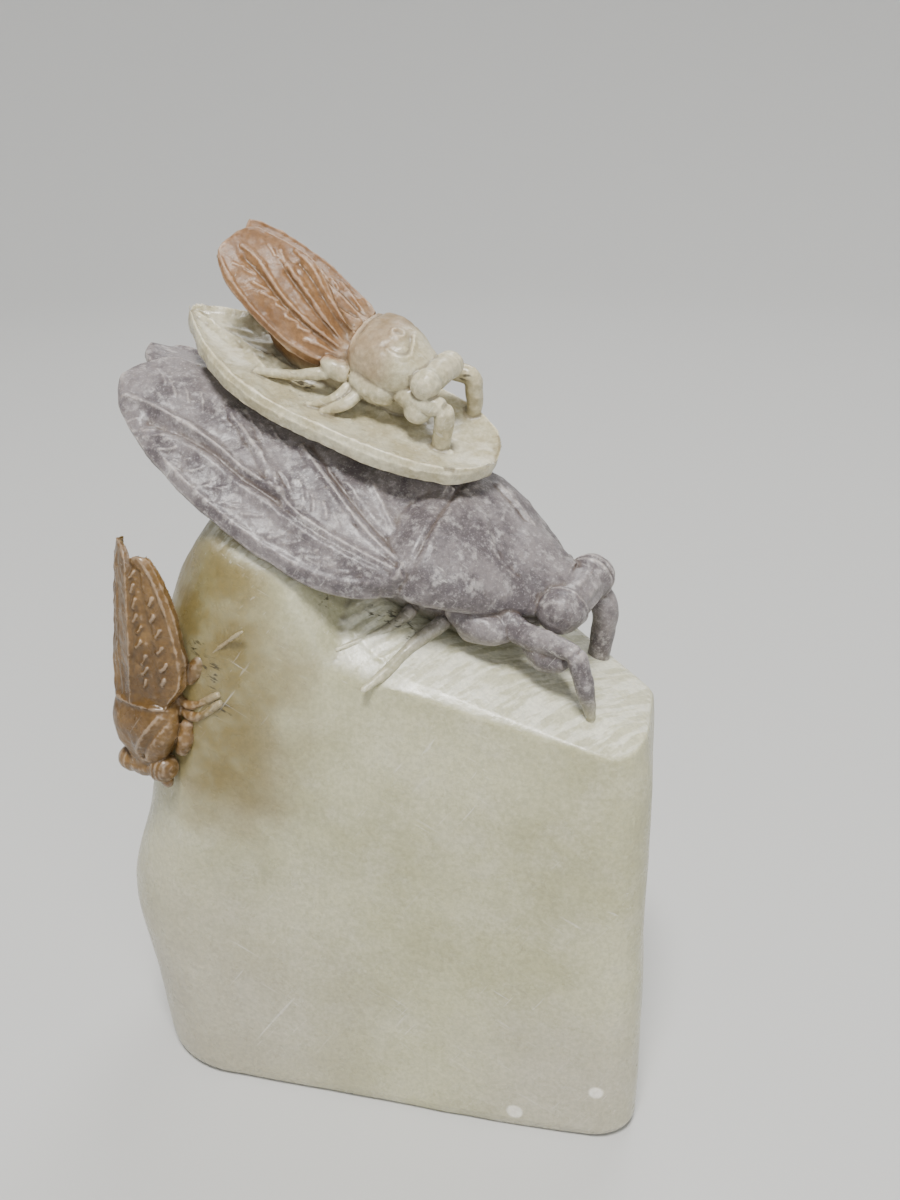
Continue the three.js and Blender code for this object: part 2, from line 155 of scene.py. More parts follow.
# Backs and bellies: distance from the wings' root, place of the middle line, half the width,
# height of the top, of the widest line and of the underside
SHIELD = {
    "a": (-4, -1, 1, 4.5, 8, 11, 13.4, 15),
    "middle": (-0.5, -0.7, -0.7, -0.5, -0.3, 0, 0, 0),
    "half": (8.4, 10.2, 10.8, 10.2, 8.5, 6.4, 4.8, 3.4),
    "top": (-2, -0.5, -0.3, -1.2, -2.7, -4.3, -5.4, -6.2),
    "edge": (-6.4, -6.4, -6.2, -6.1, -6.6, -7.2, -7.4, -7.4),
    "low": (-8.6, -9, -8.9, -8.8, -8.8, -8.9, -8.8, -8.4),
}
DOME = {
    "a": (0.2, 1.5, 5, 9, 12.5, 14.8, 16.2),
    "middle": (1.5, 1.3, 0.5, -0.8, -1.7, -2, -2.4),
    "half": (5.4, 6.8, 7.9, 7.3, 5.7, 4, 2.8),
    "top": (0.6, 2.1, 3.2, 3.1, 2.1, 0.9, 0),
    "edge": (-2, -2, -2.6, -2.8, -2.4, -2, -2),
    "low": (-6, -6.4, -6.6, -6.4, -5.6, -5, -4),
}
BELLY = {
    "a": (-26, -23, -17, -8, 2, 10, 14.5),
    "half": (1.2, 3.4, 5.6, 7.2, 7.6, 6.2, 3.4),
    "top": (-3.4, -2.4, -1.4, -1.2, -2, -3, -4.4),
    "edge": (-4.6, -5, -6, -7.4, -8.4, -8.4, -7.6),
    "low": (-5.6, -7.2, -9.4, -11.4, -12.4, -12, -9.6),
}
SIDE_BACK = {
    "a": (-3, -0.5, 3, 7, 10.5, 13, 15.2),
    "middle": (0, 0, 0, 0, 0, 0, 0),
    "half": (5.2, 7.7, 8.8, 8.6, 7.4, 6, 4.4),
    "top": (-2.6, -1.3, 0.1, 0.6, -0.1, -1.2, -2),
    "edge": (-7, -6, -5.2, -4.6, -4.3, -4.2, -4.2),
    "low": (-9, -9, -8.4, -7.8, -7.4, -6.8, -6),
}
HEAD = {
    "b": (-5.6, -5.3, -4.6, -3.6, -2.6, -1.9, -1, 0, 1, 1.9, 2.6, 3.6, 4.6, 5.3, 5.6),
    "radius": (0.8, 1.6, 2.3, 2.6, 2.5, 2.3, 2.45, 2.5, 2.45, 2.3, 2.5, 2.6, 2.3, 1.6, 0.8),
}

# Legs, knees and shoulders: points of a path in the cicada's frame and a radius at each
LARGE_LEGS = (
    (((9, -6, -8.2), (12.4, -7.5, -8.4), (15.7, -8.5, -7.5), (18.9, -9.4, -6.6)),
     (1.3, 1.25, 1.2, 0.8)),
    (((18.6, -9.3, -6.6), (20.4, -9.7, -9.6), (22.4, -10.2, -13.8)), (1, 0.95, 0.5)),
    (((12.5, 4, -8.6), (16, 4, -9), (18, 3.6, -9.6), (19.3, 2.8, -14), (19.8, 2, -18)),
     (1.4, 1.5, 1.5, 1.3, 1.1)),
    (((4.6, -7.6, -8.6), (7, -8, -9.2), (9.4, -7.8, -9.3), (12, -6.8, -8.6)), (1.1, 1.5, 1.7, 0.9)),
    (((6, -7.8, -10), (7.6, -8, -10.4), (9.4, -7.8, -10.2)), (0.8, 1.2, 0.8)),
    (((13, -7, -8.8), (15.4, -7.6, -9.4), (18, -8.8, -8.4)), (1.1, 2, 1.3)),
    (((4.5, -7, -11), (2.4, -10.5, -13.2), (1.2, -14.5, -14.5), (0, -17.1, -15.5)),
     (0.9, 0.8, 0.6, 0.3)),
    (((0.8, -7.5, -11), (-0.1, -8.9, -12.4), (-4.6, -14.3, -14.5)), (0.8, 0.7, 0.3)),
    (((4.5, 7, -10), (2.4, 9, -15), (1.2, 10, -19)), (1, 0.9, 0.9)),
)
SMALL_LEGS = (
    (((11, -5.6, -4), (14.1, -6.1, -5), (17.4, -6.6, -4.6), (20.2, -6.4, -4.2)), (2, 2.2, 1.9, 1.5)),
    (((13, -6, -5.4), (15.9, -7, -6.2), (18, -6.8, -5.6)), (1.2, 2.2, 1.2)),
    (((20.2, -6.3, -4.2), (20.4, -6.5, -8), (20.3, -6.7, -12.6)), (1.6, 1.65, 1.6)),
    (((21, -7, -13), (23, -7.6, -13.2)), (1.3, 1.2)),
    (((12.5, 2.6, -3.4), (17, 4.6, -4.4), (19.8, 5.2, -4.9), (21, 5, -9), (21, 5, -13)),
     (1.7, 1.6, 1.6, 1.5, 1.3)),
    (((2.6, -5.2, -4.2), (5, -5.9, -4.9), (8, -6.2, -5.2), (11, -5.7, -4.8)), (1.8, 2.6, 2.7, 2)),
    (((-3.4, -5.6, -3.2), (-1, -6, -4.2), (1.9, -5.8, -4.4)), (1.1, 1.9, 1.8)),
    (((4.8, -7, -6), (4, -9.4, -7.2), (0, -12.3, -9.4)), (1.3, 1.1, 0.8)),
    (((2.8, -7, -6), (1.4, -9.4, -7.6), (-3, -12, -9)), (1.2, 1, 0.7)),
    (((-1.5, -6.4, -5), (-7, -8.6, -6.2), (-14.4, -10.2, -7.2)), (1.3, 0.9, 0.6)),
    (((4, 7, -4.4), (-1.7, 8, -5.4), (-6.9, 8, -9)), (1.2, 1, 0.8)),
)
SIDE_LEGS = (
    (((-0.5, 6, -7), (0.5, 9.4, -8), (-3.6, 17.2, -9.7)), (1.1, 1.1, 0.6)),
    (((2, 7, -7.5), (3, 10.5, -8), (-1.9, 17.7, -9.8)), (1.1, 1.1, 0.6)),
    (((-4.5, 9, -8), (-8.2, 11.3, -9.4), (-10.8, 12.6, -10)), (1.5, 2.1, 1.2)),
    (((-10, 12.6, -10), (-14, 17, -10.3), (-19.4, 23.4, -10.7)), (0.6, 0.5, 0.4)),
    (((4, 9.5, -8), (8, 9, -7.6), (12.5, 7.8, -7)), (1.3, 1.9, 1.4)),
    (((16, 3, -5), (18.6, 4.2, -5.5), (21, 5.2, -6)), (2.2, 1.8, 0.9)),
)

# Leaf, drawn in the large cicada's frame with a pitch of its own
LEAF = {
    "pitch": 18,
    "from": -35,
    "to": 3.1,
    "half": 8,
    "widest": 0.58,
    "floor": 2.7,
    "rim": 3.9,
    "thick": 2.2,
    "keel": -1,
    "tip lift": 1,
    "tip swing": 1.6,
    "middle": 3.2,
}

# Veins: height and width of the raised line, then its course as (part of the wing's length from
# the root, distance across the wing from the ridge). A height under nought is a groove.
LARGE_VEINS = (
    (0.42, 0.75, ((0, 12.3), (0.2, 12.1), (0.45, 10.4), (0.66, 8.5), (0.82, 9.0))),
    (0.36, 0.42, ((0, 11.6), (0.23, 11), (0.37, 10), (0.45, 7.5), (0.58, 4.3), (0.64, 2.4))),
    (0.55, 0.42, ((0.4, 9.2), (0.54, 8.4), (0.62, 7.4), (0.7, 6.8), (0.82, 6.2), (0.95, 6.2))),
    (-0.62, 0.6, ((0.4, 10), (0.5, 9.5), (0.62, 8.3), (0.72, 7.7), (0.84, 7.6))),
    (0.42, 0.4, ((0, 10.8), (0.16, 8.6), (0.3, 5.7), (0.42, 3.2))),
    (-0.4, 0.45, ((0, 10), (0.16, 7.7), (0.3, 4.8), (0.4, 2.6))),
    (0.3, 0.4, ((0, 9.6), (0.1, 6.6), (0.2, 3.4))),
    (0.26, 0.3, ((0.44, 8.6), (0.52, 6.2), (0.6, 4.2), (0.68, 2.6))),
    (-0.3, 0.5, ((0.04, 11.9), (0.24, 11.6), (0.38, 10.6))),
)
SMALL_VEINS = (
    (0.5, 0.42, ((0, 3.8), (0.2, 3.4), (0.36, 3), (0.5, 2.1), (0.64, 0.5), (0.75, -0.9), (0.87, -1.2))),
    (-0.45, 0.5, ((0.1, 4.4), (0.3, 4), (0.5, 3.1), (0.66, 1.4), (0.82, 0.3))),
    (0.42, 0.38, ((0.04, 2.8), (0.2, 1.1), (0.38, -1.1), (0.53, -2.8), (0.64, -4.4))),
    (-0.4, 0.42, ((0.08, 2.9), (0.24, 1.5), (0.4, -0.2), (0.55, -1.8))),
    (0.5, 0.45, ((0.03, -0.1), (0.14, -1.4), (0.25, -2.7), (0.41, -5.3), (0.56, -6.2))),
    (-0.35, 0.4, ((0.06, 1), (0.2, -0.5), (0.36, -3), (0.5, -4.4))),
    (0.3, 0.35, ((0.02, 4.6), (0.14, 5.2), (0.28, 6.2))),
)
SIDE_VEINS = (
    (0.3, 0.5, ((0, 8), (0.3, 8.4), (0.6, 7.4), (0.9, 5.4))),
    (0.3, 0.5, ((0, 4), (0.3, 3.6), (0.6, 3), (0.9, 2.6))),
    (-0.35, 0.5, ((0.05, 6), (0.4, 5.6), (0.8, 4.4))),
)

# Rows of short cuts between the veins: the row's ends as parts of the wing's length, how many
# cuts, the row's course as (parts of the length, distances across), then each cut's slant,
# length, height and width
LARGE_CUTS = (
    (0.14, 0.74, 15, ((0.15, 0.3, 0.45, 0.6, 0.75), (13.6, 13.7, 12.7, 11.3, 9.6)),
     0.55, 1.9, 0.16, 0.13),
    (0.22, 0.5, 7, ((0, 1), (12.4, 0.4)), -0.8, 1.5, 0.15, 0.13),
    (0.75, 0.9, 6, ((0, 1), (15.48, 7.48)), 0.4, 2, 0.15, 0.13),
    (0.5, 0.9, 9, ((0, 1), (4.6, 2.6)), -0.9, 1.9, 0.14, 0.13),
    (0.24, 0.6, 7, ((0, 1), (7.2, -0.8)), -0.7, 2.2, 0.13, 0.13),
)
SMALL_CUTS = (
    (0.3, 0.84, 7, ((0, 1), (6.52, 1.12)), 0.3, 2.4, 0.28, 0.26),
    (0.3, 0.7, 5, ((0, 1), (0.8, -5.2)), -0.5, 2, 0.24, 0.24),
)
SIDE_CUTS = (
    (0.14, 0.88, 9, ((0, 1), (4.4, 2)), 0.5, 1.7, 0.7, 0.42),
    (0.18, 0.72, 6, ((0, 1), (8.8, 6.4)), 0.5, 1.4, 0.6, 0.42),
)

# Layers of the stone over the ground, each a channel of the colour that its shells carry
LAYERS = ("large", "small", "side", "leaf")


def mix(a, b, t):
    """From a to b in step with t."""
    return a + (b - a) * t


def ease(t):
    """Nought to one with a level start and end."""
    t = np.clip(t, 0, 1)
    return t * t * (3 - 2 * t)


def through(keys, values, at):
    """Smooth curve through pairs of key and value, a cubic between each two with shared slopes."""
    keys = np.asarray(keys, float)
    values = np.asarray(values, float)
    slopes = np.gradient(values, keys)
    at = np.clip(at, keys[0], keys[-1])
    i = np.clip(np.searchsorted(keys, at) - 1, 0, len(keys) - 2)
    gap = keys[i + 1] - keys[i]
    t = (at - keys[i]) / gap
    start = (2 * t**3 - 3 * t**2 + 1) * values[i] + (t**3 - 2 * t**2 + t) * gap * slopes[i]
    end = (3 * t**2 - 2 * t**3) * values[i + 1] + (t**3 - t**2) * gap * slopes[i + 1]
    return start + end


def lengths(path):
    """Distance of each of the path's points from its start, along straight lines."""
    return np.concatenate([[0], np.cumsum(np.linalg.norm(np.diff(path, axis=0), axis=1))])


def bend(path, count):
    """Points spread evenly along a smooth curve through the path's points."""
    path = np.asarray(path, float)
    marks = lengths(path)
    at = np.linspace(0, marks[-1], count)
    return np.stack([through(marks, path[:, i], at) for i in range(path.shape[1])], -1)


def soft_min(a, b, blend):
    """The lower of two heights, with their crease rounded over about the blend's size."""
    low = np.minimum(a, b)
    return low - blend * np.log(np.exp((low - a) / blend) + np.exp((low - b) / blend))


def soft_max(a, b, blend):
    """The higher of two heights, rounded the same way."""
    return -soft_min(-a, -b, blend)


def ridge_line(distance, width):
    """One at no distance and falling off as a bell: e to the minus (distance over width) squared."""
    return np.exp(-((distance / width) ** 2))


def around(count):
    """Angles once round, as one row of a grid."""
    return np.linspace(0, 2 * np.pi, count, endpoint=False)[None, :]


def stroke(x, y, path, width):
    """One along the path and falling off as a bell with the distance from it."""
    nearest = np.full(np.broadcast(x, y).shape, np.inf)
    for (ax, ay), (bx, by) in zip(path[:-1], path[1:]):
        run_x = bx - ax
        run_y = by - ay
        t = np.clip(((x - ax) * run_x + (y - ay) * run_y) / (run_x**2 + run_y**2), 0, 1)
        nearest = np.minimum(nearest, (x - ax - t * run_x) ** 2 + (y - ay - t * run_y) ** 2)
    return np.exp(-nearest / width**2)


def shell(rings):
    """Closed skin through rings of points: two triangles between each four and a fan at each end,
    turned so that its volume is above nought."""
    count, sides = rings.shape[:2]
    points = np.concatenate([rings.reshape(-1, 3), rings[[0, -1]].mean(axis=1)])
    ring, step = np.meshgrid(np.arange(count - 1), np.arange(sides), indexing="ij")
    here = (ring * sides + step).ravel()
    beside = (ring * sides + (step + 1) % sides).ravel()
    edge = np.arange(sides)
    ahead = (edge + 1) % sides
    last = (count - 1) * sides
    hubs = np.full(sides, count * sides)
    triangles = np.concatenate([
        np.stack([here, beside, beside + sides], -1),
        np.stack([here, beside + sides, here + sides], -1),
        np.stack([ahead, edge, hubs], -1),
        np.stack([last + edge, last + ahead, hubs + 1], -1),
    ])
    a, b, c = (points[triangles[:, i]] for i in range(3))
    if np.einsum("ij,ij->i", a, np.cross(b, c)).sum() < 0:
        triangles = triangles[:, ::-1]
    return points, triangles


def turning(insect):
    """Matrix that turns and sizes the insect's frame: roll first, then pitch, then turn."""
    turn = Matrix.Rotation(math.radians(insect["turn"]), 3, "Z")
    turn = turn @ Matrix.Rotation(math.radians(insect["pitch"]), 3, "Y")
    return np.array(turn @ Matrix.Rotation(math.radians(insect["roll"]), 3, "X")) * insect["size"]


def placed(insect, rings):
    """Closed skin through rings drawn in the insect's frame, taken to the carving's."""
    points, triangles = shell(rings)
    return points @ turning(insect).T + np.array(insect["at"]), triangles


def seen_by(insect, points):
    """Points of the carving in the insect's frame."""
    return (points - np.array(insect["at"])) @ np.linalg.inv(turning(insect)).T


# Block
def top_height(x, y):
    """Lowest of the top's planes: slope or shoulder, left fall, front facet and back fall."""
    slope = BLOCK_RIGHT_HEIGHT + TOP_SLOPE * (SLOPE_END - x)
    shoulder = SHOULDER_MIDDLE - SHOULDER_RISE * x
    fall = SHOULDER_PEAK["z"] + SHOULDER_PEAK["fall"] * (x - SHOULDER_PEAK["x"])
    wall = FACET["wall rise"] * np.maximum(0, FACET["wall x"] - x)
    facet = FACET["z"] + FACET["rise"] * (FACET["x"] - x) + FACET["lean"] * (y + BLOCK_DEPTH / 2) + wall
    past = BACK_FALL["across"] * (x - BACK_FALL["x"]) + BACK_FALL["deep"] * (y - BACK_FALL["y"])
    behind = BACK_FALL["z"] - BACK_FALL["slope"] * past
    top = soft_min(soft_max(slope, shoulder, CREASE), fall, CREASE * 4)
    return soft_min(soft_min(top, facet, CREASE), behind, CREASE * 2)


def block_outline(turn, z):
    """Rectangle with four round corners at height z: turn runs once round it from the front right."""
    chamfer = FOOT_CHAMFER * np.clip(1 - z, 0, 1)

    def edge(side, size):
        return size / 2 - through(BLOCK_SIDES["z"], BLOCK_SIDES[side], z) - chamfer

    left = -edge("left", BLOCK_WIDTH)
    right = edge("right", BLOCK_WIDTH)
    front = -edge("front", BLOCK_DEPTH)
    back = edge("back", BLOCK_DEPTH)
    corner = np.minimum(3, np.floor(turn * 4)).astype(int)
    angle = np.radians(np.choose(corner, (-90, 0, 90, 180)) + 90 * (turn * 4 - corner))
    radius = np.choose(corner, tuple(CORNER_RADIUS.values()))
    x = np.choose(corner, (right, right, left, left))
    y = np.choose(corner, (front, back, back, front))
    across = x - np.sign(x) * radius + radius * np.cos(angle)
    depth = y - np.sign(y) * radius + radius * np.sin(angle)
    return across * (1 - BACK_TAPER * (depth / BLOCK_DEPTH + 0.5)), depth


def block():
    """Rings up the sides to the sloping rim, then drawn in over the top. At the rim the drop is
    r(1 - t)² and the way in is r t², for t from nought to one, which rounds the edge. The rim's
    height is found by going halfway to the top's height there, time after time."""
    turns = (np.arange(4)[:, None] + np.linspace(0, 0.999, CORNER_POINTS)) / 4
    starts = np.cumsum([0] + [CORNER_POINTS + count for count in SIDE_POINTS])

    def ring(z):
        parts = []
        for i, count in enumerate(SIDE_POINTS):
            after = (i + 1) % 4
            corner = block_outline(turns[i], z[starts[i]:starts[i] + CORNER_POINTS])
            following = block_outline(turns[after][:1], z[starts[after]:starts[after] + 1])
            parts.append(np.stack(corner, -1))
            t = np.arange(1, count + 1)[:, None] / (count + 1)
            parts.append(mix(parts[-1][-1], np.stack(following, -1), t))
        return np.concatenate(parts)

    rim = np.full(starts[-1], float(SHOULDER_MIDDLE))
    for _ in range(25):
        rim = mix(rim, top_height(*ring(rim).T), 0.5)
    edge = ring(rim)
    roundness = mix(EDGE_SHARP, EDGE_SOFT, ease((SOFT_FROM - edge[:, 0]) / SOFT_OVER))
    rings = []
    for rise in np.concatenate([[0, 0.006, 0.013], np.linspace(0.03, 1, SIDE_RINGS)]):
        z = (rim - roundness) * rise
        rings.append(np.column_stack([ring(z), z]))
    reach = np.linalg.norm(edge, axis=1)
    for t in np.linspace(0.06, 1, RIM_RINGS):
        drop = roundness * (1 - t) ** 2
        flat = ring(rim - drop) * (1 - roundness * t**2 / reach)[:, None]
        rings.append(np.column_stack([flat, mix(rim, top_height(*flat.T), t) - drop]))
    for shrink in np.linspace(0.99, 0.02, TOP_RINGS):
        flat = edge * (1 - roundness / reach)[:, None] * shrink
        rings.append(np.column_stack([flat, top_height(*flat.T) + chisel_marks(*flat.T)]))
    return shell(np.array(rings))


def chisel_marks(x, y):
    """Low parallel ridges beside the hind leg, left by the tool where the hollow was cut."""
    height = np.zeros_like(x)
    for i in range(CHISEL["count"]):
        start = np.array(CHISEL["at"]) + i * np.array(CHISEL["step"])
        mark = (start, start + np.array(CHISEL["run"]))
        height += CHISEL_HEIGHT * stroke(x, y, mark, CHISEL_WIDTH)
    return height


# Wings
def wing_chord(s, wing):
    """Width of the wing at a part s of its length: a long egg, widest near the root."""
    widest = wing["widest"]
    out = np.where(s > widest, (np.maximum(s - widest, 0) / (1 - widest)) ** 1.6,
                   ((widest - s) / (1.75 * widest)) ** 2)
    return mix(wing["tip"], wing["chord"], (1 - out) ** 0.6) - wing["tuck"] * ease(1 - s / 0.15)


def cut_rows(s, w, span, rows):
    """Short slanting cuts in rows, each a little off in place, length and slant."""
    raised = np.zeros(np.broadcast(s, w).shape)
    for first, last, count, course, lean, length, height, width in rows:
        hand = np.random.default_rng(count * 7 + int(first * 100))
        for at in np.linspace(first, last, count):
            at += hand.normal(0, 0.006)
            reach = length / 2 * hand.uniform(0.7, 1.25)
            slant = lean * hand.uniform(0.6, 1.2)
            along = at * span
            across = through(*course, at) + hand.normal(0, 0.25)
            path = (
                (along + reach, across + slant),
                (along, across + 0.3 * slant),
                (along - reach, across - slant),
            )
            raised += height * stroke(s * span, w, path, width)
    return raised


def vein_relief(s, w, span, veins):
    """The veins together, each its height times a bell across its smooth course."""
    raised = np.zeros(np.broadcast(s, w).shape)
    for height, width, course in veins:
        line = bend([(a * span, b) for a, b in course], 14)
        raised += height * stroke(s * span, w, line, width)
    return raised


def large_relief(s, w, span, chord):
    """Veins, rows of cuts, a raised line inside the lower edge with a step outside it, both dying
    out at the tip, and a ridge across the root."""
    fading = ease((0.9 - s) / 0.2)
    raised = vein_relief(s, w, span, LARGE_VEINS) + cut_rows(s, w, span, LARGE_CUTS)
    raised += 0.3 * ridge_line(w - chord + 0.95, 0.42) * fading
    raised -= 0.2 * ease((w - chord + 0.6) / 0.5) * fading
    return raised + 0.4 * ridge_line(s * span - 0.3, 0.35)


def small_relief(s, w, span, chord):
    """Veins, rows of cuts and a raised line inside the lower edge."""
    raised = vein_relief(s, w, span, SMALL_VEINS) + cut_rows(s, w, span, SMALL_CUTS)
    return raised + 0.45 * ridge_line(w - chord + 1.1, 0.45) * ease((1.02 - s) / 0.1)


def side_relief(s, w, span, chord):
    """Two rows of raised crescents with a groove between them, a rim, and a hollow cut at the tip."""
    groove = [(a * span, b) for a, b in ((0.1, 6.8), (0.5, 5.8), (0.9, 4))]
    hollow = [(a * span, b) for a, b in ((0.93, 0.5), (0.91, 4.2))]
    raised = 0.5 * ridge_line(w - chord + 1, 0.5) + cut_rows(s, w, span, SIDE_CUTS)
    return raised - 0.4 * stroke(s * span, w, groove, 0.7) - 0.25 * stroke(s * span, w, hollow, 1)


def side_far_relief(s, w, span, chord):
    """Three plain veins."""
    return vein_relief(s, w, span, SIDE_VEINS)


def wing(insect, side, relief):
    """Rings across the wing from root to tip, closer together towards the tip, with s the part of
    the length and q the part of the way across. The top is the roof's slope plus a swell of four
    times t(1 - t) times the camber, a curl down at the lower edge and the veins; the underside
    lies a thickness below it that grows towards the root and shrinks at the tip."""
    spec = insect["wing"]
    half = insect["near"] if side < 0 else insect["far"]
    span = spec["length"] + half["longer"]
    s = mix(-0.012, 0.9993, 1 - (1 - np.linspace(0, 1, WING_GRID["along"])) ** 1.8)[:, None]
    chord = wing_chord(s, spec)
    ending = 1 - np.sqrt(1 - np.clip((s - WING_END) / (1 - WING_END), 0, 1) ** 2)
    overlap = spec["overlap"] * (1 if side < 0 else 0.3)
    inner = np.minimum(mix(-overlap * ease(s / 0.5), spec["tip"], ending), chord - 0.5)
    roof = np.radians(mix(half["roof"][0], half["roof"][1], s))
    fan = 0.3 + 0.7 * ease(s / 0.4)
    camber = WING_CAMBER * (1 - 0.6 * s)
    drop = FAR_WING_DROP if side > 0 else 0
    out = math.tan(math.radians(half["spread"]))
    rise = math.sin(math.radians(spec["lift"]))

    def place(q, under):
        w = mix(inner, chord, q)
        t = q ** (1 / fan)
        h = camber * 4 * t * (1 - t) - WING_CURL * t**8
        if under:
            thick = spec["edge"] * mix(1, TIP_THINNER, ease((s - 0.75) / 0.25))
            h = h - (thick + WING_ROOT * (1 - s) * (1 - t))
        else:
            h = h + relief(s, w, span, chord) * ease((1 - s) * 12)
        across = w * np.cos(roof) + h * np.sin(roof)
        up = -w * np.sin(roof) + h * np.cos(roof) - drop
        a = np.broadcast_to(-s * span, w.shape)
        return np.stack([a, side * (across + s * span * out), up + s * span * rise], -1)

    top = place(np.linspace(0, 1, WING_GRID["top"])[None, :], False)
    bottom = place(np.linspace(0.99, 0.01, WING_GRID["under"])[None, :], True)
    return placed(insect, np.concatenate([top, bottom], axis=1))


# Bodies
def rounded(value, power):
    """The value's size to a power, with its sign kept: under one, it squares a circle's sides."""
    return np.sign(value) * np.abs(value) ** power


def trunk(insect, stations, power, relief=None):
    """Rings across the length: an arch above the widest line and a shallower one below it, with
    the relief on the upper arch."""
    a = np.linspace(stations["a"][0], stations["a"][-1], TRUNK_GRID[0])[:, None]
    half, top, edge, low, middle = (
        through(stations["a"], stations[name], a) for name in ("half", "top", "edge", "low", "middle"))
    turn = around(TRUNK_GRID[1])
    s = np.sin(turn)
    b = middle + half * rounded(np.cos(turn), power)
    up = edge + np.where(s > 0, top - edge, edge - low) * rounded(s, power)
    a = np.broadcast_to(a, b.shape)
    if relief:
        up = up + relief(a, b) * ease(s * 2.5)
    return placed(insect, np.stack([a, b, up], -1))


def belly(insect):
    """The belly follows the wings up behind the root and reaches down to what carries it."""
    a = np.array(BELLY["a"], float)
    behind = np.minimum(0, a) * insect["wing"]["length"] / LARGE["wing"]["length"]
    rise = -behind * math.sin(math.radians(insect["wing"]["lift"]))
    middle = np.clip((a + 26) / 12, 0, 1) * np.clip((16 - a) / 5, 0, 1)
    stations = {
        "a": np.maximum(a, behind),
        "middle": np.zeros(len(a)),
        "half": np.array(BELLY["half"]) * insect["belly"]["girth"],
        "top": np.array(BELLY["top"]) + rise,
        "edge": np.array(BELLY["edge"]) + rise * 0.6,
        "low": np.array(BELLY["low"]) - insect["belly"]["deeper"] * middle,
    }
    return trunk(insect, stations, 0.9)


def shield_relief(a, b):
    """Two blade-shaped crescents that meet towards the head, and the collar behind the head."""
    far = bend(((3.6, 5.2), (6, 4.4), (8.8, 3), (12.4, 0.9)), 12)
    near = bend(((4.6, -1.2), (6.8, -4), (8.8, -4.9), (11.8, -3.9)), 12)
    raised = 0.3 * stroke(a, b, far, 0.4) - 0.35 * stroke(a, b + 0.7, far, 0.5)
    raised += 0.2 * stroke(a, b, near, 0.28) - 0.16 * stroke(a, b - 0.6, near, 0.5)
    raised += 0.35 * ridge_line(a - 13.4, 0.4) - 0.3 * ridge_line(a - 12.6, 0.4)
    return raised - 0.35 * ridge_line(a - 0.7, 0.35)


def dome_relief(a, b):
    """A ring beside the middle, an edge at the wings' root and a fold before the head."""
    raised = 0.35 * ridge_line(np.hypot(a - 8.4, b + 1) - 1.1, 0.4)
    arc = bend(((8.4, -5.1), (10.6, -5.6), (12.3, -4.6), (11.8, -2.1), (10.5, 0.8)), 14)
    raised += 0.3 * stroke(a, b, arc, 0.4) - 0.25 * stroke(a + 0.8, b - 0.6, arc, 0.5)
    return raised + 0.5 * ridge_line(a - 1.1, 0.4) - 0.3 * ridge_line(a - 2.1, 0.4)


def side_thorax_relief(a, b):
    """A raised band at the wings' root and a slanting fold to the near eye."""
    fold = 0.6 * stroke(a, b, ((2.5, 7), (12, 1)), 0.6) - 0.6 * stroke(a, b, ((3.5, 8), (13, 2)), 0.6)
    return 0.7 * ridge_line(a - 0.6, 0.5) + fold


def head(insect):
    """Barrel turned about the line through both eyes, with a rim round each eye, bands on the far
    eye and facets on the brow between them. It leans forward on the far side."""
    spec = insect["head"]
    b = np.linspace(HEAD["b"][0], HEAD["b"][-1], HEAD_GRID[0])[:, None]
    turn = around(HEAD_GRID[1])
    radius = through(HEAD["b"], HEAD["radius"], b) * spec["girth"]
    brow = 0.12 * ease((1.7 - np.abs(b)) / 0.4) * np.cos(turn * 9)
    rim = 0.2 * ridge_line(np.abs(b) - 2.9, 0.2)
    bands = 0.1 * np.cos(b * 8) * ease((b - 2.4) / 0.5) * ease((5 - b) / 0.5)
    radius = radius + spec["rims"] * (brow + rim + bands)
    b = b * spec["wide"]
    return placed(insect, np.stack([
        spec["a"] + b * spec["skew"] + radius * np.cos(turn),
        np.broadcast_to(b + spec["b"], radius.shape),
        spec["c"] + radius * np.sin(turn),
    ], -1))


def limb(insect, path, radii):
    """Rings round a smooth path. Near an end the radius is that of a ball, a little cut off."""
    course = bend(path, LIMB_GRID[0])
    marks = lengths(path)
    along = np.linspace(0, marks[-1], LIMB_GRID[0])
    radius = through(marks, radii, along)
    from_end = np.minimum(along, marks[-1] - along) + 0.3 * radius
    radius = radius * np.sqrt(1 - (1 - np.clip(from_end / radius, 0.02, 1)) ** 2)
    run = np.gradient(course, axis=0)
    run /= np.linalg.norm(run, axis=1)[:, None]
    sideways = np.cross(ACROSS_LIMBS, run)
    sideways /= np.linalg.norm(sideways, axis=1)[:, None]
    upright = np.cross(run, sideways)
    turn = around(LIMB_GRID[1])[..., None]
    circle = np.cos(turn) * sideways[:, None] + np.sin(turn) * upright[:, None]
    return placed(insect, course[:, None] + radius[:, None, None] * circle)


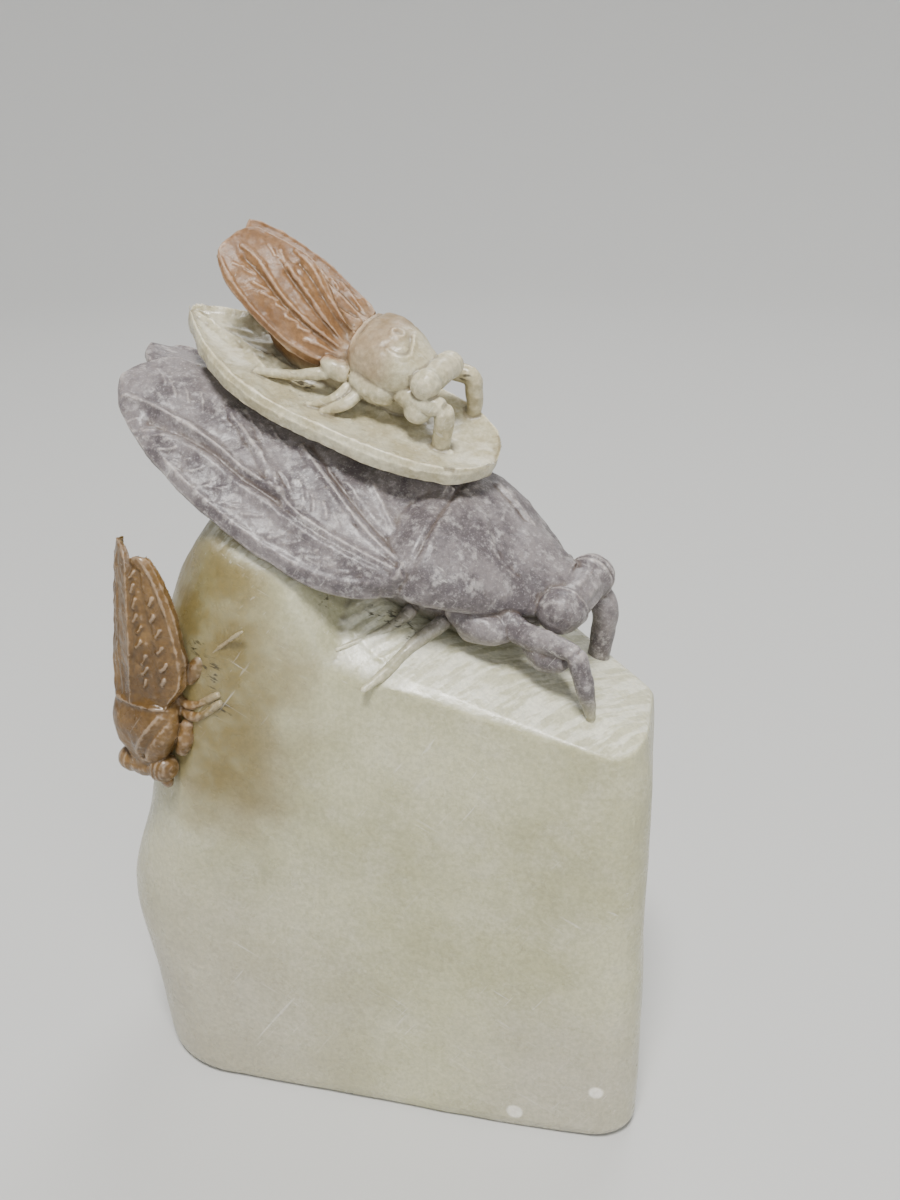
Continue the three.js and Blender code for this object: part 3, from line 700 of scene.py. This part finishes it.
# Leaf
def leaf():
    """Boat with a hollow floor and a raised rim: half its width swells from the pointed tip and
    closes bluntly at the other end."""
    t = (1 - (1 - np.linspace(0.003, 0.985, LEAF_GRID["along"])) ** 1.9)[:, None]
    a = mix(LEAF["from"], LEAF["to"], t)
    beyond = np.maximum(0, (t - LEAF["widest"]) / (1 - LEAF["widest"]))
    before = np.clip(1 - t / LEAF["widest"], 0, 1)
    spread = np.where(t < LEAF["widest"], 1 - before**3, np.sqrt(np.maximum(0, 1 - beyond**3)))
    lift = LEAF["tip lift"] * ease(1 - t * 2.2)
    middle = LEAF["middle"] + LEAF["tip swing"] * (1 - t) ** 8

    def row(u, height):
        b = middle + LEAF["half"] * spread * (2 * u - 1)
        return np.stack([np.broadcast_to(a, b.shape), b, height + lift], -1)

    u = np.linspace(0, 1, LEAF_GRID["top"])[None, :]
    off = np.abs(2 * u - 1)
    bowl = mix(LEAF["floor"], LEAF["rim"], off**3) - 0.9 * ease((off - 0.93) / 0.07)
    b = middle + LEAF["half"] * spread * (2 * u - 1)
    midrib = 0.3 * stroke(a, b, bend(((-34, 4.6), (-26, 3.4), (-18, 3.2), (-10, 3.2)), 10), 0.4)
    for i in range(3):
        for side in (-1, 1):
            start = (-32 + 4 * i, 4.2 - 0.2 * i)
            end = (-28 + 4.4 * i, 4.2 - 0.2 * i + side * (1.4 + 1.1 * i))
            midrib = midrib + 0.18 * stroke(a, b, (start, end), 0.3)
    top = row(u, bowl + midrib)
    v = np.linspace(1, 0, LEAF_GRID["under"])[None, :]
    lip = LEAF["rim"] - LEAF["thick"]
    hull = mix(LEAF["keel"], lip, np.abs(2 * v - 1) ** 1.3)
    under = row(v, mix(lip, hull, np.clip(1.4 * spread, 0, 1)))
    return placed({**LARGE, "pitch": LEAF["pitch"]}, np.concatenate([top, under], axis=1))


# Skins
def forms():
    """Every shell of the carving with the layer of stone it is cut from."""
    made = [("ground", block()), ("leaf", leaf())]
    cicadas = (
        ("large", LARGE, SHIELD, shield_relief, large_relief, large_relief, LARGE_LEGS),
        ("small", SMALL, DOME, dome_relief, small_relief, small_relief, SMALL_LEGS),
        ("side", SIDE, SIDE_BACK, side_thorax_relief, side_far_relief, side_relief, SIDE_LEGS),
    )
    for layer, insect, back, back_relief, near, far, legs in cicadas:
        shells = [trunk(insect, back, 0.85, back_relief), belly(insect), head(insect)]
        shells += [wing(insect, -1, near), wing(insect, 1, far)]
        shells += [limb(insect, path, radii) for path, radii in legs]
        made += [(layer, one) for one in shells]
    return made


def mesh_of(points, triangles, name):
    """Mesh with these points, in metres, and these triangles."""
    mesh = bpy.data.meshes.new(name)
    mesh.from_pydata(points.tolist(), [], triangles.tolist())
    mesh.update()
    return mesh


def in_scene(name, data):
    """New object in the scene."""
    obj = bpy.data.objects.new(name, data)
    bpy.context.scene.collection.objects.link(obj)
    return obj


def applied(obj):
    """Gives the object the mesh that its modifiers make, in place of its own."""
    mesh = bpy.data.meshes.new_from_object(obj.evaluated_get(bpy.context.evaluated_depsgraph_get()))
    obj.modifiers.clear()
    old = obj.data
    obj.data = mesh
    bpy.data.meshes.remove(old)


def joined(made, name):
    """All shells in one object, each point coloured by the layer of its shell."""
    offset = 0
    points = []
    triangles = []
    colours = []
    for layer, (p, t) in made:
        points.append(p * MM)
        triangles.append(t + offset)
        colours.append(np.tile([float(layer == channel) for channel in LAYERS], (len(p), 1)))
        offset += len(p)
    mesh = mesh_of(np.concatenate(points), np.concatenate(triangles), name)
    layers = mesh.color_attributes.new("layers", "FLOAT_COLOR", "POINT")
    layers.data.foreach_set("color", np.concatenate(colours).astype(np.float32).ravel())
    return in_scene(name, mesh)


def lumps(points, size, seed):
    """Smooth noise from -1 to 1: random values at the corners of a lattice, blended between."""
    lattice = np.random.default_rng(seed).uniform(-1, 1, (32, 32, 32))
    where = points / size
    low = np.floor(where).astype(int)
    x, y, z = ease(where - low).T
    total = np.zeros(len(points))
    for i, j, k in np.ndindex(2, 2, 2):
        corner = (low + (i, j, k)) % 32
        part = (x if i else 1 - x) * (y if j else 1 - y) * (z if k else 1 - z)
        total += part * lattice[corner[:, 0], corner[:, 1], corner[:, 2]]
    return total


def hand_carved(mesh, swells):
    """Moves each point along its normal by the sum of some noises, each a height and a size, and
    keeps it from going under the base."""
    points = read(mesh.vertices, "co", 3).astype(float)
    move = sum(height * lumps(points / MM, size, seed) for seed, (height, size) in enumerate(swells))
    points += read(mesh.vertices, "normal", 3) * (move * MM)[:, None]
    points[:, 2] = np.maximum(points[:, 2], 0)
    mesh.vertices.foreach_set("co", points.astype(np.float32).ravel())
    mesh.update()


def fuse(obj, cell, softness, faces, swells):
    """The shells melted into one skin of four-sided cells, smoothed a number of times, cut by
    hand, and thinned where it is flat to the number of three-sided faces."""
    melt = obj.modifiers.new("melt", "REMESH")
    melt.mode = "VOXEL"
    melt.voxel_size = cell * MM
    polish = obj.modifiers.new("polish", "SMOOTH")
    polish.factor = 0.5
    polish.iterations = softness
    applied(obj)
    hand_carved(obj.data, swells)
    thin = obj.modifiers.new("thin", "DECIMATE")
    thin.ratio = min(1, faces / (2 * len(obj.data.polygons)))
    applied(obj)


def colour_from(obj, source):
    """The layers' colours carried over from the nearest place on the shells."""
    obj.data.color_attributes.new("layers", "FLOAT_COLOR", "POINT")
    carry = obj.modifiers.new("layers", "DATA_TRANSFER")
    carry.object = source
    carry.use_vert_data = True
    carry.data_types_verts = {"COLOR_VERTEX"}
    carry.vert_mapping = "POLYINTERP_NEAREST"
    applied(obj)
    return read(obj.data.color_attributes["layers"].data, "color", 4)


def read(items, name, width, kind=np.float32):
    """The named values of a mesh's points, edges or colours, one row each."""
    flat = np.empty(len(items) * width, kind)
    items.foreach_get(name, flat)
    return flat.reshape(-1, width)


def shared(values, edges, count):
    """Sum of the values at both ends of the edges, each given to the point at the other end."""
    total = np.bincount(edges[:, 0], values[edges[:, 1]], count)
    return total + np.bincount(edges[:, 1], values[edges[:, 0]], count)


def softened(values, edges, times):
    """Values at the points, drawn towards the mean of their neighbours a number of times."""
    count = np.bincount(edges.ravel(), minlength=len(values))
    for _ in range(times):
        values = 0.5 * values + 0.5 * shared(values, edges, len(values)) / np.maximum(count, 1)
    return values


def bulge(mesh, points, edges):
    """How far each point stands proud of its neighbours' middle, over the square of their mean
    distance: above nought on ridges and edges, under nought in folds."""
    count = np.maximum(np.bincount(edges.ravel(), minlength=len(points)), 1)
    middle = np.stack([shared(points[:, i], edges, len(points)) / count for i in range(3)], -1)
    length = np.linalg.norm(points[edges[:, 0]] - points[edges[:, 1]], axis=1)
    reach = np.bincount(edges.ravel(), np.repeat(length, 2), len(points)) / count
    proud = np.einsum("ij,ij->i", points - middle, read(mesh.vertices, "normal", 3))
    return proud / np.maximum(reach, 1e-6) ** 2 * MM


def paint(obj, layers):
    """Part of each layer and finish at each point, with painted top light and painted shade among them,
    kept as attributes that the stone's colours read.
    """
    mesh = obj.data
    points = read(mesh.vertices, "co", 3)
    edges = read(mesh.edges, "vertices", 2, np.int32)
    large, small, side, leaf_layer = (softened(layers[:, i].astype(float), edges, 3) for i in range(4))

    # The large cicada's legs fade to the ground's colour near their feet, lower on the far side
    _, b, c = seen_by(LARGE, points / MM).T
    foot = mix(ease((-9.5 - c) / 5), ease((-14.5 - c) / 5), ease(b))

    # The side cicada's legs fade where they reach the block's front
    _, b, _ = seen_by(SIDE, points / MM).T
    reached = ease((b - 11) / 5)

    # The small cicada's wings are amber and fade at the root, at their lower edge and underneath
    a, b, c = seen_by(SMALL, points / MM).T
    winged = ease((b + 6.8 - 0.12 * a) / 1.2)
    under = ease((-3.5 - c + 0.2 * a) / 4)
    amber = mix(0.1, 1, ease((2.2 - a) / 5)) * winged * (1 - 0.75 * under)
    dome = ease((a + 2) / 3) * ease((12 - a) / 5) * ease((c + 4.5) / 3)

    ground = np.clip(1 - large - small - side - leaf_layer, 0, 1)
    faces_up = ease((read(mesh.vertices, "normal", 3)[:, 2] - 0.45) / 0.3)
    shape = bulge(mesh, points, edges)
    masks = {
        "grey": large * (1 - 0.8 * foot),
        "cream": np.clip(small + leaf_layer, 0, 1),
        "amber": np.clip(small * (amber + 0.55 * dome), 0, 1),
        # Painted top light over the frosted chisel cuts: the ground wherever it faces up, lightened in
        # stone()
        "cut_and_top_light": ground * faces_up,
        "brown": side * (1 - 0.8 * reached),
        "ridge": np.clip(0.9 * softened(shape, edges, 1), 0, 1),
        # Painted shade: folds and hollows, darkened in stone()
        "fold": np.clip(-1.1 * softened(shape, edges, 6), 0, 1),
    }
    for name, values in masks.items():
        attribute = mesh.attributes.new(name, "FLOAT", "POINT")
        attribute.data.foreach_set("value", values.astype(np.float32))


# For each skin: the layers that it is cut from, the size of its cells in millimetres, how often
# it is smoothed, its number of triangles, and the height and size of its tool marks
SKINS = {
    "block": (("ground",), 0.2, 1, 150000, ((0.28, 13), (0.08, 3.5))),
    "large_cicada": (("large",), 0.14, 2, 190000, ((0.12, 2.2), (0.06, 1), (0.03, 0.5))),
    "leaf_and_small_cicada":
        (("leaf", "small"), 0.105, 4, 190000, ((0.13, 1.9), (0.07, 0.8), (0.02, 0.4))),
    "side_cicada": (("side",), 0.09, 4, 140000, ((0.12, 1.7), (0.07, 0.7), (0.02, 0.35))),
}


def carved(made, name):
    """One skin of the carving: its shells melted together, with the layers' colours painted on."""
    layers, cell, softness, faces, swells = SKINS[name]
    shells = joined([form for form in made if form[0] in layers], "shells")
    skin = in_scene(name, shells.data.copy())
    fuse(skin, cell * (1), softness, faces, swells)
    paint(skin, colour_from(skin, shells))
    left_over = shells.data
    bpy.data.objects.remove(shells)
    bpy.data.meshes.remove(left_over)
    skin.data.shade_smooth()
    return skin


all_forms = forms()
skins = [carved(all_forms, name) for name in SKINS]

# Stone: places of the hazes, stains, bruises and dirt, each a middle and an inner and outer
# radius, in millimetres
HAZE = ((-22, -14, 10, 4, 30), (22, -14, 6, 2, 18))
STAINS = ((-21, -12, 62, 4, 14), (-19, -13, 53, 6, 15), (-18, -13.5, 45, 3, 14))
BRUISES = ((15.7, -14.2, 2.6, 0.7, 1.1), (24.8, -13.8, 7.1, 0.6, 1))
DIRT = (
    (-19.4, -12.4, 57, 0.4, 1.6),
    (-17.6, -13.1, 55.2, 0.5, 1.8),
    (-17.8, -13.2, 53.4, 0.4, 1.4),
    (-16.7, -13.5, 50.5, 0.4, 1.4),
    (-6.6, -8.6, 62, 0.2, 1.3),
    (-1.6, -6.2, 60.2, 0.5, 2),
    (0.4, -6.4, 59.6, 0.5, 2),
    (2, -6.9, 58.7, 0.4, 1.8),
    (-12, 2, 81.8, 0.6, 2.6),
    (5.1, 4.3, 83, 0.3, 1.3),
)

# Colours by their 8-bit values: two for each layer, which clouds mix, and one for each finish, painted
# top light and painted shade among them
COLOURS = {
    "ground": ((167, 164, 131), (184, 181, 151)),
    "grey": ((90, 83, 85), (124, 117, 117)),
    "cream": ((172, 163, 132), (193, 187, 162)),
    "amber": ((119, 86, 54), (140, 106, 72)),
    "brown": ((92, 69, 38), (120, 93, 57)),
    "pale patch": (192, 188, 168),
    "haze": (170, 162, 154),
    "stain": (118, 103, 61),
    "bruise": (228, 224, 212),
    # Painted top light on ground that faces up, with the frost of the chisel cuts
    "frost_and_top_light": (219, 217, 199),
    "grey cloud": (168, 163, 161),
    "grey speck": (184, 180, 179),
    "worn": (214, 208, 200),
    # Painted shade for folds and hollows
    "fold": (84, 68, 50),
    "dirt": (44, 37, 26),
    "scratch": (220, 216, 208),
}
LIGHTER = (1.4, 1.38, 1.36, 1)
MOTTLE = ((0.86, 0.86, 0.86, 1), (1.08, 1.08, 1.08, 1))
BUMP = {"Strength": 0.35, "Distance": 0.12 * MM}
GLOW = {
    "Subsurface Weight": 0.35,
    "Subsurface Radius": (1, 0.85, 0.6),
    "Subsurface Scale": 1.2 * MM,
}


def linear(red, green, blue):
    """Colour from its 8-bit values."""
    return tuple((value / 255) ** 2.2 for value in (red, green, blue)) + (1,)


def stone():
    """The ground with its patches, haze, stains, bruises, and frosted cuts lightened by painted top
    light wherever it faces up, the other layers over it where the skins' attributes say, worn ridges,
    folds darkened by painted shade, dirt, mottling and scratches."""
    material = bpy.data.materials.new("soapstone")
    material.use_nodes = True
    tree = material.node_tree
    place = tree.nodes.new("ShaderNodeTexCoord").outputs["Object"]

    def fill(node, inputs):
        """Joins an output to each of the node's inputs, or sets a value on it."""
        for name, value in inputs.items():
            if hasattr(value, "is_linked"):
                tree.links.new(value, node.inputs[name])
            else:
                node.inputs[name].default_value = value

    def made(kind, output, inputs, **settings):
        """The output of a new node with these settings and inputs."""
        node = tree.nodes.new("ShaderNode" + kind)
        for name, value in settings.items():
            setattr(node, name, value)
        fill(node, inputs)
        return node.outputs[output]

    def attribute(name):
        """What paint() has kept under this name."""
        return made("Attribute", "Fac", {}, attribute_name=name)

    def noise(millimetres, detail, rough=0.55, where=place, output="Fac"):
        """Clouds of this size, with this much finer detail in them."""
        inputs = {"Vector": where, "Scale": 1 / (millimetres * MM), "Detail": detail}
        return made("TexNoise", output, {**inputs, "Roughness": rough})

    def span(value, low, high, start=0, end=1):
        """From start to end, eased, while the value goes from low to high."""
        inputs = {"Value": value, "From Min": low, "From Max": high, "To Min": start, "To Max": end}
        return made("MapRange", "Result", inputs, interpolation_type="SMOOTHSTEP")

    def times(a, b):
        return made("Math", "Value", {0: a, 1: b}, operation="MULTIPLY")

    def plus(a, b):
        return made("Math", "Value", {0: a, 1: b}, operation="ADD")

    def larger(a, b):
        return made("Math", "Value", {0: a, 1: b}, operation="MAXIMUM")

    def blend(part, a, b, kind="MIX"):
        """Colour a with this part of colour b laid over it. A colour may be given by its name."""
        a, b = (linear(*COLOURS[value]) if isinstance(value, str) else value for value in (a, b))
        return made("Mix", 2, {0: part, 6: a, 7: b}, data_type="RGBA", blend_type=kind)

    def turned(angles, scale):
        """Object coordinates turned by three angles and then stretched."""
        inputs = {
            "Vector": place,
            "Rotation": [math.radians(angle) for angle in angles],
            "Scale": [1 / factor for factor in scale],
        }
        return made("Mapping", "Vector", inputs, vector_type="TEXTURE")

    def stirred(millimetres, amount):
        """Object coordinates pushed about by a cloud, so that what reads them has a ragged edge."""
        cloud = noise(millimetres, 1, 0.5, place, "Color")
        inputs = {0: cloud, 1: [amount * MM] * 3, 2: [-amount / 2 * MM] * 3}
        push = made("VectorMath", "Vector", inputs, operation="MULTIPLY_ADD")
        return made("VectorMath", "Vector", {0: push, 1: place}, operation="ADD")

    def spots(places, where):
        """One inside any of the balls, fading to nought from the inner to the outer radius."""
        result = 0
        for x, y, z, inner, outer in places:
            inputs = {0: where, 1: (x * MM, y * MM, z * MM)}
            away = made("VectorMath", "Value", inputs, operation="DISTANCE")
            result = larger(result, span(away, outer * MM, inner * MM))
        return result

    patches = noise(4, 5, 0.6)
    loose = stirred(6, 8)
    ragged = stirred(1, 2.4)

    def layer(name, low, high, cloud=patches):
        """The layer's two colours, mixed by the clouds."""
        dark, pale = COLOURS[name]
        return blend(span(cloud, low, high), linear(*dark), linear(*pale))

    ground = layer("ground", 0.35, 0.65, noise(14, 3))
    ground = blend(span(patches, 0.45, 0.75, 0, 0.4), ground, "pale patch")
    ground = blend(times(spots(HAZE, loose), 0.5), ground, "haze")
    stain = times(spots(STAINS, loose), span(patches, 0.3, 0.6, 0.6, 0.95))
    ground = blend(stain, ground, "stain")
    ground = blend(spots(BRUISES, place), ground, "bruise")
    # Painted top light: ground that faces up is lightened, through the stretched frost of the chisel
    # cuts
    frost_and_top_light = span(noise(1, 3, 0.6, turned((0, 0, 48), (0.16, 1.1, 0.8))), 0.42, 0.58, 0.25, 0.85)
    ground = blend(times(attribute("cut_and_top_light"), frost_and_top_light), ground, "frost_and_top_light")

    grey = layer("grey", 0.38, 0.6)
    grey = blend(span(noise(1.2, 4, 0.7), 0.5, 0.68, 0, 0.7), grey, "grey cloud")
    grey = blend(span(noise(0.22, 3, 0.75), 0.54, 0.7, 0, 0.45), grey, "grey speck")
    colour = blend(attribute("grey"), ground, grey)
    colour = blend(attribute("cream"), colour, layer("cream", 0.35, 0.65))
    colour = blend(attribute("amber"), colour, layer("amber", 0.35, 0.7))
    colour = blend(attribute("brown"), colour, layer("brown", 0.35, 0.7))

    worn = blend(0.2, blend(1, colour, LIGHTER, "MULTIPLY"), "worn")
    colour = blend(span(attribute("ridge"), 0.08, 0.6, 0, 0.75), colour, worn)
    # Painted shade: folds and hollows are darkened
    colour = blend(span(attribute("fold"), 0.05, 0.45, 0, 0.45), colour, "fold")
    grains = span(noise(0.7, 2, 0.6, turned((0, 15, 0), (0.45, 1, 2))), 0.54, 0.6)
    grime = larger(grains, span(attribute("fold"), 0.1, 0.25))
    colour = blend(times(times(spots(DIRT, ragged), grime), 0.85), colour, "dirt")
    colour = blend(1, colour, blend(span(noise(0.5, 3, 0.7), 0.3, 0.7), *MOTTLE), "MULTIPLY")

    long_way = noise(1, 2, 0.5, turned((0, 35, 0), (3, 3, 0.12)))
    short_way = noise(1, 2, 0.5, turned((0, -62, 0), (3, 3, 0.1)))
    scratches = times(span(larger(long_way, short_way), 0.66, 0.74), span(noise(9, 2), 0.45, 0.65))
    colour = blend(times(scratches, 0.4), colour, "scratch")

    polish = span(noise(2.5, 2, 0.6), 0.3, 0.7, 0.24, 0.36)
    dull = times(larger(attribute("grey"), attribute("amber")), 0.12)
    figure = larger(larger(attribute("grey"), attribute("cream")), attribute("brown"))
    strokes = times(noise(0.6, 2, 0.6, turned((15, 0, 60), (0.35, 1.4, 1.4))), figure)
    grain = plus(times(noise(0.35, 2, 0.6), 0.6), times(noise(1.6, 2, 0.5), 1.2))
    bump = made("Bump", "Normal", {"Height": plus(grain, strokes), **BUMP})
    finish = {"Base Color": colour, "Roughness": plus(polish, dull), "Normal": bump, **GLOW}
    fill(tree.nodes["Principled BSDF"], finish)
    return material


soapstone = stone()
for skin in skins:
    skin.data.materials.append(soapstone)
    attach(skin, "root")
    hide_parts("stone_carving")

# Floor, in metres: a disc, a sweep up all round it and a wall
FLOOR_RINGS = (0.001, 0.3)
FLOOR_RADIUS = 0.5
SWEEP_RADIUS = 0.5
WALL_HEIGHT = 1
SWEEP_STEPS = 24
FLOOR_SIDES = 96
FLOOR_COLOUR = (0.55, 0.55, 0.54, 1)

# Camera: the point it looks at, its distance, its turn and rise in degrees, its focal length and
# the photo's long side in pixels, and the sensor's in millimetres
TARGET = Vector((5.5, -3, 61)) * MM
CAMERA_DISTANCE = 137.5 * MM
CAMERA_TURN = 13
CAMERA_RISE = 24
FOCAL_PIXELS = 1300
FRAME_PIXELS = 1200
SENSOR = 36

# Lamps: turn and rise as the camera's, distance and width in metres, watts, colour
LAMPS = {
    "window": (6, 66, 0.9, 0.24, 12, (1, 0.985, 0.96)),
    "fill": (30, 24, 0.55, 0.3, 1, (0.97, 0.99, 1)),
    "behind": (175, 50, 0.8, 0.4, 2.5, (1, 1, 1)),
}
SKY = {"Color": (0.9, 0.95, 1, 1), "Strength": 0.2}


def direction(turn, rise):
    """Unit vector turned to the right of the front and raised."""
    turn = math.radians(turn)
    rise = math.radians(rise)
    return Vector((math.sin(turn) * math.cos(rise), -math.cos(turn) * math.cos(rise), math.sin(rise)))


def floor():
    """Flat disc that sweeps up all round into a wall: a quarter circle, then straight."""
    sweep = np.linspace(0, np.pi / 2, SWEEP_STEPS)
    radius = np.concatenate([FLOOR_RINGS, FLOOR_RADIUS + SWEEP_RADIUS * np.sin(sweep)])
    height = np.concatenate([[0, 0], SWEEP_RADIUS * (1 - np.cos(sweep))])
    radius = np.append(radius, radius[-1])[:, None]
    height = np.append(height, WALL_HEIGHT)[:, None]
    turn = around(FLOOR_SIDES)
    level = np.broadcast_to(height, (len(height), FLOOR_SIDES))
    points, triangles = shell(np.stack([radius * np.cos(turn), radius * np.sin(turn), level], -1))
    lid = np.any(triangles == len(points) - 1, axis=1)
    mesh = mesh_of(points, triangles[~lid][:, ::-1], "floor")
    mesh.shade_smooth()
    material = bpy.data.materials.new("pale floor")
    material.use_nodes = True
    shader = material.node_tree.nodes["Principled BSDF"]
    shader.inputs["Base Color"].default_value = FLOOR_COLOUR
    shader.inputs["Roughness"].default_value = 0.9
    mesh.materials.append(material)
    in_scene("floor", mesh)


def aimed(name, data, turn, rise, distance):
    """Object at this distance from the target, looking at it."""
    obj = in_scene(name, data)
    away = direction(turn, rise)
    obj.location = TARGET + away * distance
    obj.rotation_euler = away.to_track_quat("Z", "Y").to_euler()
    return obj


def lamp(name, turn, rise, distance, size, watts, colour):
    """Round lamp that the camera doesn't see."""
    light = bpy.data.lights.new(name, "AREA")
    light.shape = "DISK"
    light.size = size
    light.energy = watts
    light.color = colour
    aimed(name, light, turn, rise, distance).visible_camera = False


def camera():
    """Camera matched to the photo's."""
    lens = bpy.data.cameras.new("camera")
    lens.lens = FOCAL_PIXELS * SENSOR / FRAME_PIXELS
    lens.sensor_width = SENSOR
    lens.clip_start = 0.01
    bpy.context.scene.camera = aimed("camera", lens, CAMERA_TURN, CAMERA_RISE, CAMERA_DISTANCE)


floor()
camera()
for name, values in LAMPS.items():
    lamp(name, *values)
world = bpy.data.worlds.new("studio")
world.use_nodes = True
for name, value in SKY.items():
    world.node_tree.nodes["Background"].inputs[name].default_value = value
bpy.context.scene.world = world
